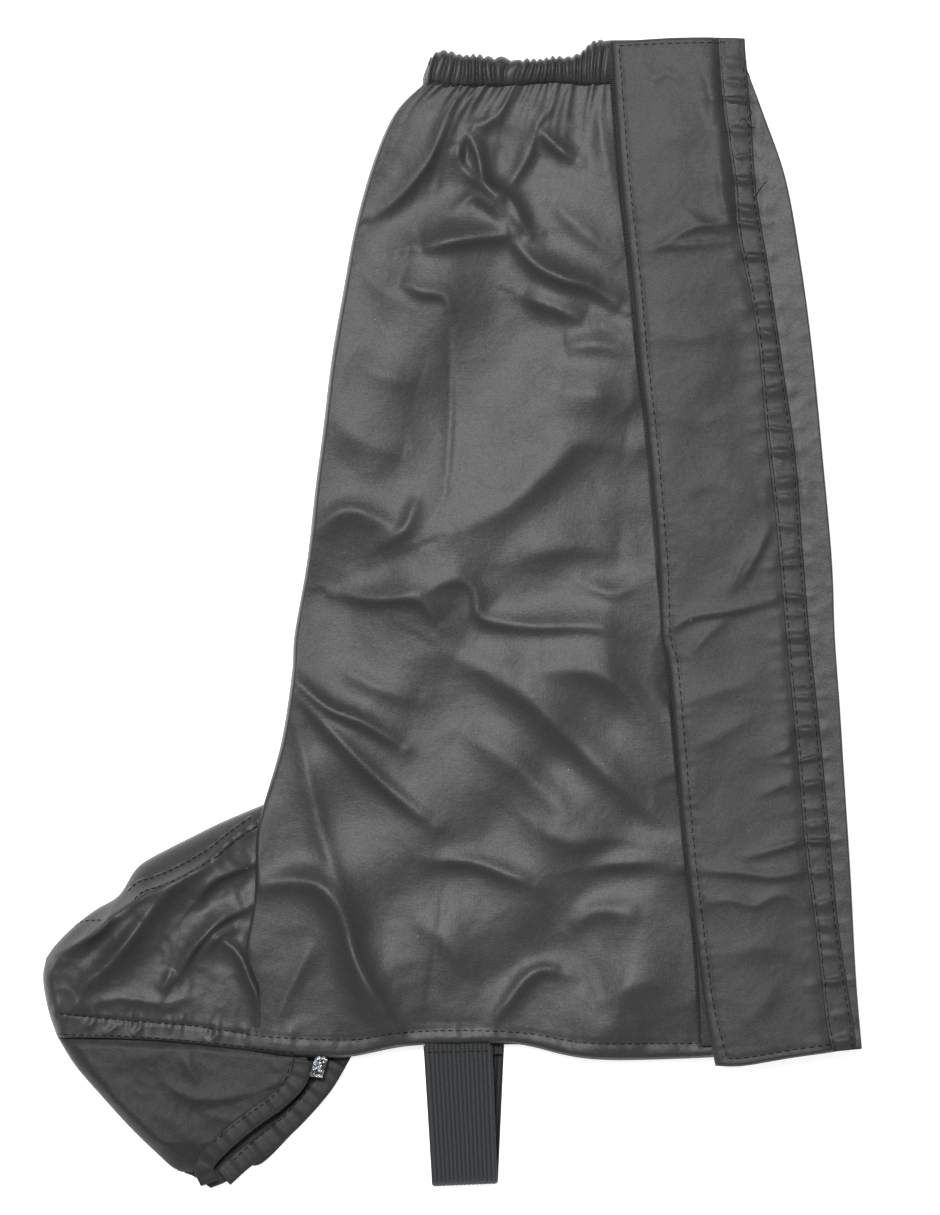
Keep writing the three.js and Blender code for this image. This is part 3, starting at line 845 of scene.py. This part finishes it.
def surface_of(*pieces):
    """A function that gives the height of the highest of these pieces at a place, or None."""
    bpy.context.view_layer.update()
    trees = [BVHTree.FromObject(piece, bpy.context.evaluated_depsgraph_get()) for piece in pieces]
    down = Vector((0, 0, -1))

    def touch(x, y):
        found = [tree.ray_cast(Vector((x * MM, y * MM, above_all)), down)[0] for tree in trees]
        heights = [spot.z / MM for spot in found if spot is not None]
        return max(heights, default=None)
    return touch


def heights_on(touch, spots, missing):
    found = [touch(x, y) for x, y in spots]
    return np.array([missing if value is None else value for value in found])


leg_and_foot = surface_of(leg, foot)
hem_left = [(-152.6, -162.6), (-156, -154)]
hem_right = [(116.6, -168.9), (116.6, -165.2)]
hem_low = [
    (-152.6, -162.6), (-127, -163.4), (-103.3, -165), (-83, -167.2),
    *[(x, y + 0.5) for x, y in leg_hem[2:-1]], (116.6, -168.9),
]
hem_depth, hem_cut = 8, 10.5
hem_high = [(-156, -154), *hem_stitch_line[1:-1], (116.6, -165.2)]
hem_between, hem_length, _ = between(hem_left, hem_right, hem_low, hem_high)


def hem_place(across, up):
    spot = hem_between(across, up)
    return np.column_stack([spot, heights_on(leg_and_foot, spot, 9.4) - 1.0])


def inner_hem_place(across, up):
    spot = hem_between(across, 0.1 + 0.8 * up)
    return np.column_stack([spot, np.full(len(across), 1.9)])


hem = cloth_piece("bottom_hem_turning", hem_place, hem_length, hem_depth, 1.6)
inner_hem = cloth_piece("inner_hem_turning", inner_hem_place, hem_length, hem_depth, 2.4)
dress(hem, shell, "hem_nylon", "bottom_hem_outer", "bottom_hem_closure")
dress(inner_hem, shell, "hem_nylon", "bottom_hem_inner")
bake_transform(hem)
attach(inner_hem, "gaiter")


# ---- Instep seam
# The two sides meet in a felled seam over the instep: the allowance is turned over and topstitched,
# which leaves a low welt along the top of the foot.
instep_path = [
    (-125.4, -107.4), (-121, -103.4), (-112.7, -100.6), (-103.3, -96.2), (-92.6, -89.8),
    (-85.6, -84), (-76.4, -77.8),
]
instep_edges, instep_length = beside_line(instep_path, -1.2, 4.6)
foot_surface = surface_of(foot)


def instep_place(across, up):
    spot = instep_edges(across, up)
    turns = up * instep_length / 7
    lip = rolled(np.minimum(across, 1 - across) * 5.8 + 0.01, 0.9)
    pucker = 0.22 * np.sin(2 * np.pi * turns + 1.5 * np.sin(turns))
    ends = rolled(np.minimum(up, 1 - up) * instep_length + 0.01, 2.5)
    return np.column_stack([
        spot, heights_on(foot_surface, spot, 4.0) - 0.25 + (0.5 + pucker) * lip * ends
    ])


instep = cloth_piece("instep_welt", instep_place, 5.8, instep_length, 0.6)
dress(instep, shell, "hem_nylon", "instep_seam_tape")
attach(instep, "gaiter")


# ---- Toe pocket
# The sole under the toes: two halves of a plainer, browner nylon, sewn to the foot's hem, folded
# flat on each other and open towards the strap, where each edge is hemmed over a clear elastic.
pocket_front = [
    (-100.4, -216.6), (-107.2, -215), (-113.8, -209.2), (-124.5, -198.7), (-136.2, -185.8),
    (-145.8, -174.6), (-152.8, -163.4),
]
near_rear = [
    (-97.6, -213.4), (-87.9, -203.4), (-75.5, -194.6), (-63.5, -185.8), (-56.6, -178.6),
    (-55.6, -169.9),
]
far_rear = [
    (-93.3, -222), (-86.8, -219.2), (-80.5, -213.6), (-73.8, -212.6), (-64.4, -203.7), (-53.9, -191.9),
    (-45.2, -181.6), (-38.6, -170.6),
]
near_top = [(-152.8, -163.4), (-127, -163.6), (-103.3, -165.2), (-74, -168.4), (-55.6, -169.9)]
far_top = [(-152.8, -163.4), (-103.3, -165.2), (-60, -169.2), (-38.6, -170.6)]
near_folds = [
    ([(-112, -178), (-104, -185), (-91.5, -187), (-75, -184)], 1.5, 5, 2.6),
    ([(-102, -168), (-101, -176), (-97, -181)], 1.1, 2.5, 2.5),
    ([(-144, -168), (-133, -184), (-118, -199), (-104, -209)], 1.2, 4, 3.4),
    ([(-96, -192), (-86, -195), (-76, -193)], 0.8, 4, 3),
    ([(-128, -172), (-112, -170), (-96, -176)], 0.8, 5, 4),
    ([(-70, -172), (-66, -178), (-72, -183)], 0.7, 2.5, 2.5),
    ([(-118, -190), (-106, -198), (-98, -206)], 0.7, 5, 4),
]


def near_sole_place(across, up):
    spot = near_between(across, up)
    x, y = spot.T
    from_front, _, _ = from_line(x, y, pocket_front, 40)
    level = 8.2 + folds(x, y, near_folds) + 0.45 * crumple(x, y, 22, 4.9)
    level += 0.16 * crumple(x, y, 6, 1.2, ridged=True)
    level -= 1.6 * np.clip((y - np.interp(x, [-152, -103, -56], [-166, -168, -172])) / 3, 0, 1)
    tip = np.interp(y, [-216, -204], [0.55, 1.0])
    height = layer_floor + (level * tip - layer_floor) * rolled(from_front + 0.01, 7)
    return np.column_stack([spot, height])


def far_sole_place(across, up):
    spot = far_between(across, up)
    x, y = spot.T
    from_rear, _, _ = from_line(x, y, far_rear, 50)
    level = 1.1 + 0.25 * crumple(x, y, 14, 6.6)
    level += np.where(x > -100, 1.0 * fading(from_rear - 5, 4.2), 0)
    return np.column_stack([spot, level])


sole_cloth = nylon(
    "sole_nylon", (0.016, 0.0155, 0.0155), (0.013, 0.0126, 0.0126), roughness=0.6
)
pocket_bottom = [(-100.4, -216), (-97.6, -213.4)]
far_bottom = [(-100.4, -216), (-97.4, -219), (-93.3, -222)]
near_between, near_width, near_length = between(pocket_front, near_rear, pocket_bottom, near_top)
far_between, far_width, far_length = between(pocket_front, far_rear, far_bottom, far_top)
near_sole = cloth_piece("near_sole_sheet", near_sole_place, near_width, near_length, 1.0)
far_sole = cloth_piece("far_sole_sheet", far_sole_place, far_width, far_length, 1.4)


def hang_from_hem(piece):
    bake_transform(piece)


for half, node, width, length in (
    (near_sole, "outer", near_width, near_length), (far_sole, "inner", far_width, far_length),
):
    dress(half, sole_cloth, "sole_nylon", f"toe_sole_{node}")
    hang_from_hem(half)

near_hem_line = [
    (-57.6, -171.6), (-59.6, -179.6), (-67, -187.2), (-79.4, -196.2), (-90.5, -206), (-95.6, -213.2),
    (-93.6, -219.8),
]
far_hem_line = [
    (-44.6, -173), (-50.6, -182.6), (-61, -194.4), (-72, -204.4), (-80.6, -210.6), (-88.4, -217.6)
]
casing_wall, toe_casing_cut = 0.9, 18


def casing_place(line, width, level, drop, seed):
    """A flat tube of gathered cloth along a line, whose far end goes down by drop."""
    edges, length = beside_line(line, -width / 2, width / 2)

    def place(across, up):
        turn = 2 * np.pi * across
        flat_ring = np.sign(np.cos(turn)) * np.abs(np.cos(turn)) ** 0.75
        spot = edges(0.5 - 0.5 * flat_ring, up)
        wave = 0.45 * np.sin(up * length / 1.1 + seed) * np.sin(up * length / 3.7 + 2 * seed)
        rise = casing_wall * (1 + 0.3 * wave) * np.sin(turn) + 0.6 * wave
        return np.column_stack([spot, level + rise + np.interp(up, [0, 0.7, 1], [0, 0, drop])])
    return place, length


near_hem_place, near_hem_length = casing_place(near_hem_line, 7.4, 8.9, -4.6, 1.1)
far_hem_place, far_hem_length = casing_place(far_hem_line, 8.2, 2.7, 0.6, 2.3)
near_hem = cloth_piece("near_toe_hem", near_hem_place, 17, near_hem_length, 0.7, 0.3)
far_hem = cloth_piece("far_toe_hem", far_hem_place, 18, far_hem_length, 0.7, 0.3)
for casing, node, length in (
    (near_hem, "outer", near_hem_length), (far_hem, "inner", far_hem_length),
):
    dress(casing, sole_cloth, "sole_nylon", f"toe_hem_{node}")
    hang_from_hem(casing)

tab_corner = Vector((-55.0, -177.9))
tab_size = Vector((5.0, 7.6))


def tab_place(across, up):
    x = tab_corner.x + 2.4 * up + tab_size.x * across
    y = tab_corner.y + tab_size.y * up - 0.9 * across * (1 - up)
    height = 9.3 - up**2
    height += 0.8 * crumple(x, y, 2.2, 5.1, ridged=True) + 0.5 * crumple(x, y, 4.5, 7.3)
    return np.column_stack([x, y, height])


# The clear elastic's base colour is painted light: the crease noise runs it from near black to pale
# grey, painted highlights and painted shade that stand in for the glints of crinkled clear film.
clear_elastic, add, shade = new_material(
    "clear_elastic", Roughness=0.16, Specular_IOR_Level=1.0, Metallic=0.3, Coat_Weight=0.6
)
body = add("ShaderNodeTexCoord").outputs["Object"]
creases_and_painted_glints = add("ShaderNodeTexNoise", Vector=body, Scale=620.0, Detail=3.0)
clear_bump = add("ShaderNodeBump", Height=creases_and_painted_glints.outputs["Fac"], Strength=0.5, Distance=0.0008)
shade(
    Base_Color=two_tints(add, creases_and_painted_glints, (0.02, 0.025, 0.03), (0.45, 0.47, 0.49), 0.46, 0.66),
    Normal=clear_bump.outputs["Normal"],
)
tab = cloth_piece("clear_elastic_end", tab_place, tab_size.x, tab_size.y, 0.3, 0.2)
dress(tab, clear_elastic, "clear_elastic", "toe_elastic")
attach(tab, "toe_pocket")


# ---- Stirrup
# A loop of ribbed elastic webbing 25 mm wide that passes under the boot. Its two ends are sewn
# inside the two sides' hems, and it is folded flat at the bottom.
strap_ribs = 15
rib_height = 0.5
strap_width = 25.4
strap_top_level, strap_low_level = 8.7, 0.75
bend_reach = (strap_top_level - strap_low_level) / 2
strap_up_y, strap_bend_y = -166.2, -219.4 + bend_reach
strap_run = strap_up_y - strap_bend_y
strap_length = 2 * strap_run + math.pi * bend_reach
strap_start, strap_far_end = (-10.4, 15.0), (-5.8, 19.6)
sewn_length = 10


def strap_place(across, up):
    run = up * strap_length
    turn = np.clip((run - strap_run) / bend_reach, 0, np.pi)
    straight = np.minimum(run, strap_run) - np.maximum(0, run - strap_run - np.pi * bend_reach)
    y = strap_up_y - straight - bend_reach * np.sin(turn)
    middle_level = (strap_top_level + strap_low_level) / 2
    ribs = rib_height * (np.abs(np.sin(np.pi * strap_ribs * across)) ** 0.7 - 0.5)
    weave = 0.07 * np.sin(2 * np.pi * run / 1.25) * np.sign(np.sin(2 * np.pi * strap_ribs * across))
    lift = ribs + weave
    z = middle_level + (bend_reach + lift) * np.cos(turn)
    y -= lift * np.sin(turn)
    front = np.interp(run, [0, strap_run, strap_length], [strap_start[0], -7.3, strap_far_end[0]])
    rear = np.interp(run, [0, strap_run, strap_length], [strap_start[1], 16.8, strap_far_end[1]])
    skew = 1.3 * np.interp(run, [0.7 * strap_run, strap_run, 1.5 * strap_run], [0, 1, 0])
    return np.column_stack([front + (rear - front) * across, y + skew * (across - 0.5), z])


strap = cloth_piece("stirrup_webbing", strap_place, strap_width, strap_length, 0.42, 0.9)


# Matt yarn, with painted shade darkening the grooves between the ribs, and a fine cross weave.
webbing, add, shade = new_material(
    "webbing", Roughness=0.7, Specular_IOR_Level=0.35, Sheen_Weight=0.1
)
weave = add("ShaderNodeUVMap", {"uv_map": "weave"}).outputs["UV"]
ribs = bands(add, weave, "X", strap_width / strap_ribs, Distortion=0.0)
yarn = bands(add, weave, "Y", 0.62, Distortion=1.5, Detail=2.0)
fuzz = add("ShaderNodeTexNoise", Vector=weave, Scale=1300.0, Detail=3.0)
# Painted shade: the colour is darkest in the grooves between the ribs and lightest on their crowns.
painted_groove_shade = add(
    "ShaderNodeMix", {"data_type": "RGBA"},
    {0: ribs.outputs["Fac"], 6: (0.007, 0.0075, 0.008, 1), 7: (0.04, 0.0425, 0.046, 1)},
)
speckled = add(
    "ShaderNodeMix", {"data_type": "RGBA", "blend_type": "MULTIPLY"},
    {0: 0.5, 6: painted_groove_shade.outputs[2], 7: fuzz.outputs["Fac"]},
)
bump = add("ShaderNodeBump", Height=yarn.outputs["Fac"], Strength=0.6, Distance=0.00018)
shade(Base_Color=speckled.outputs[2], Normal=bump.outputs["Normal"])
dress(strap, webbing, "webbing", "stirrup_strap")


def swing_from_hem(piece):
    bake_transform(piece)


swing_from_hem(strap)


def strap_end_place(left, right, level):
    """A sewn end between two edges, flat inside the hem."""
    def place(across, up):
        x = left + (right - left) * across
        ribs = 0.2 * np.abs(np.sin(np.pi * strap_ribs * across))
        return np.column_stack([x, -170.0 + sewn_length * up, level + ribs])
    return place


for side, edges, level in (("outer", strap_start, 9.0), ("inner", strap_far_end, 3.6)):
    sewn_end = cloth_piece(
        f"strap_end_{side}_tab", strap_end_place(*edges, level), strap_width, sewn_length, 0.6, 0.9
    )
    dress(sewn_end, webbing, "webbing", f"strap_end_{side}")
    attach(sewn_end, "gaiter")


# ---- Thread
# Every seam is lockstitched with black thread, about four stitches to the centimetre. A stitch is
# a small round bar that sinks into the cloth at both ends, and a few cut ends were left standing.
stitch_gap = 0.75
thread_width = 0.42
one_stitch = bmesh.new()
bmesh.ops.create_uvsphere(one_stitch, u_segments=6, v_segments=5, radius=1)
stitch_mesh = mesh_of(one_stitch, "stitch")


def thread_bar(shape, start, end, width):
    """One stitch between two points in millimetres: a long, round-ended bar."""
    run = end - start
    across = run.cross(Vector((0, 0, 1))).normalized()
    upward = across.cross(run).normalized()
    turn = Matrix((run.normalized(), across, upward)).transposed().to_4x4()
    stretch = Matrix.Diagonal((run.length / 2 * 1.08, width / 2, width / 2, 1))
    place = Matrix.Translation((start + end) / 2)
    bar = stitch_mesh.copy()
    bar.transform(Matrix.Scale(MM, 4) @ place @ turn @ stretch)
    shape.from_mesh(bar)
    bpy.data.meshes.remove(bar)


def bars_piece(name, bars, material):
    """One piece of many bars, each given by its start, its end and its width."""
    shape = bmesh.new()
    for start, end, width in bars:
        thread_bar(shape, start, end, width)
    mesh = mesh_of(shape, name)
    mesh.shade_smooth()
    mesh.materials.append(material)
    return linked(name, mesh)


def stitches(line, pitch, touch):
    """The stitches of one row, lying on the cloth and a little out of line."""
    path = smooth_line(line, 400)
    count = round(length_of(path) / pitch)
    for k in range(count):
        ends = at_share(path, np.array([k, k + stitch_gap]) / count)
        start, end = ((x + random.uniform(-0.1, 0.1), y, touch(x, y)) for x, y in ends)
        if start[2] is None or end[2] is None:
            continue
        lift = Vector((0, 0, thread_width / 2))
        yield Vector(start) + lift, Vector(end) + lift, thread_width


def thread_piece(name, rows, touch):
    bars = [bar for line, pitch in rows for bar in stitches(line, pitch, touch)]
    return bars_piece(name, bars, black_thread)


black_thread, add, shade = new_material("black_thread", Roughness=0.6, Specular_IOR_Level=0.15)
body = add("ShaderNodeTexCoord").outputs["Object"]
ply = add("ShaderNodeTexNoise", Vector=body, Scale=2600.0, Detail=2.0)
shade(Base_Color=two_tints(add, ply, (0.003, 0.003, 0.0035), (0.012, 0.012, 0.014)))

shell_pitch, flap_pitch, close_pitch = 2.9, 3.1, 2.6
instep_left, _ = beside_line(instep_path, -0.2, -0.2)
instep_right, _ = beside_line(instep_path, 3.8, 3.8)
steps = np.linspace(0.01, 0.99, 30)
instep_rows = [edge(np.zeros(30), steps) for edge in (instep_left, instep_right)]
foot_hem_lower = [(-152.6, -162), (-127, -162.6), (-103.3, -164.3), (-84, -166.4), (-60, -169.2)]
hem_threads = thread_piece(
    "hem_stitches",
    [(hem_stitch_line[:-1] + [(97, -165.4)], shell_pitch), (foot_hem_lower, shell_pitch)],
    surface_of(leg, foot),
)
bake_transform(hem_threads)
instep_rows.append([(-146, -120.6), (-142, -118.4), (-134.6, -117.6)])
instep_threads = thread_piece(
    "instep_stitches", list(zip(instep_rows, (close_pitch, close_pitch, 2.4))),
    surface_of(foot, instep),
)
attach(instep_threads, "gaiter")
flap_threads = thread_piece(
    "flap_stitches",
    [(flap_front_stitch, flap_pitch), (flap_top_stitch, flap_pitch), (flap_bottom_stitch, flap_pitch)],
    surface_of(flap),
)
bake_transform(flap_threads)
band_threads = thread_piece(
    "seam_band_stitches", [(seam_line, flap_pitch), (band_line[:-1], flap_pitch)], surface_of(band)
)
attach(band_threads, "gaiter")
cuff_threads = thread_piece("cuff_stitches", [
    ([(-10.6, 206), (2, 203.9), (20, 203.8), (38, 205), (52, 204.2), (61.5, 204.4)], 2.4),
], surface_of(cuff, leg))
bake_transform(cuff_threads)
pocket_threads = thread_piece("pocket_stitches", [
    ([(-62.4, -172.4), (-64.2, -179.6), (-69.6, -186.4), (-81, -194.6), (-92.6, -204)], 2.8),
    ([(-50, -175), (-55, -183), (-65.4, -194.4), (-76.6, -203.6), (-85, -211.6)], 2.8),
], surface_of(near_sole, far_sole, near_hem, far_hem))
hang_from_hem(pocket_threads)
strap_threads = thread_piece(
    "strap_stitches", [([(-9.8, -168.9), (14.6, -168.3)], close_pitch)], surface_of(strap)
)
swing_from_hem(strap_threads)

tail_width = 0.32
tail_bars = []
seam_surface = surface_of(calf, band)
for points in (
    [(113, 213), (113.4, 209), (114.8, 206.6)],
    [(110.6, 189.6), (112.4, 190.6), (114.2, 187.4), (116.6, 187)],
    [(116.4, 160), (118.2, 163.2), (121, 166.6)],
    [(112.6, 196), (115.2, 193), (113.6, 190.4)],
):
    tail = smooth_line(points, 9)
    levels = heights_on(seam_surface, tail, 14.5) + 0.25 + 0.5 * np.sin(np.linspace(0, np.pi, 9))
    ends = [Vector((*spot, level)) for spot, level in zip(tail, levels)]
    tail_bars += [(start, end, tail_width) for start, end in zip(ends, ends[1:])]
thread_tails = bars_piece("thread_tails", tail_bars, black_thread)
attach(thread_tails, "gaiter")

selvage_path = smooth_line(hook_front, 400)
selvage_pitch, selvage_rib = 0.85, 0.62
selvage_length = length_of(selvage_path)
selvage_bars = []
for k in range(round(selvage_length / selvage_pitch)):
    x, y = at_share(selvage_path, np.array([k * selvage_pitch / selvage_length]))[0]
    start = Vector((x, y, hook_level - 0.1))
    end = Vector((x + selvage_width, y + 0.15, hook_level - 0.05))
    selvage_bars.append((start, end, selvage_rib))
selvage = bars_piece("hook_tape_selvage", selvage_bars, hook_cloth)
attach(selvage, "closure")
